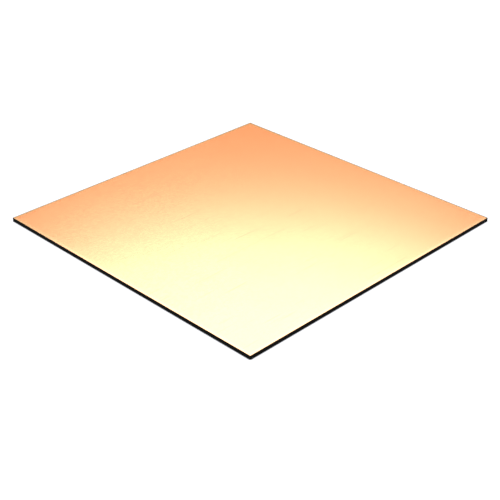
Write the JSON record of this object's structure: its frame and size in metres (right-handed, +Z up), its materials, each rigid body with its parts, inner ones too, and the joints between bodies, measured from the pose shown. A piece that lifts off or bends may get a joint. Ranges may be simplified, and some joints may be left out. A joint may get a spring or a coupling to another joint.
{
  "type": "copper clad board",
  "caption": "Square copper clad board: a thin, stiff, dark laminate sheet with bare copper foil bonded over its whole upper face, as stock for etching or milling circuit boards.",
  "frame": {"origin": "centre of the underside, on the surface that the board lies on", "axes": "+Z up, out of the copper face; X and Y along the sides, with the foil's fine lines along X"},
  "size_m": [0.15, 0.15, 0.0016],
  "materials": {
    "laminate": "satin",
    "copper_foil": "satin"
  },
  "bodies": {
    "root": {"laminate": "laminate", "copper_foil": "copper_foil"}
  },
  "joints": []
}
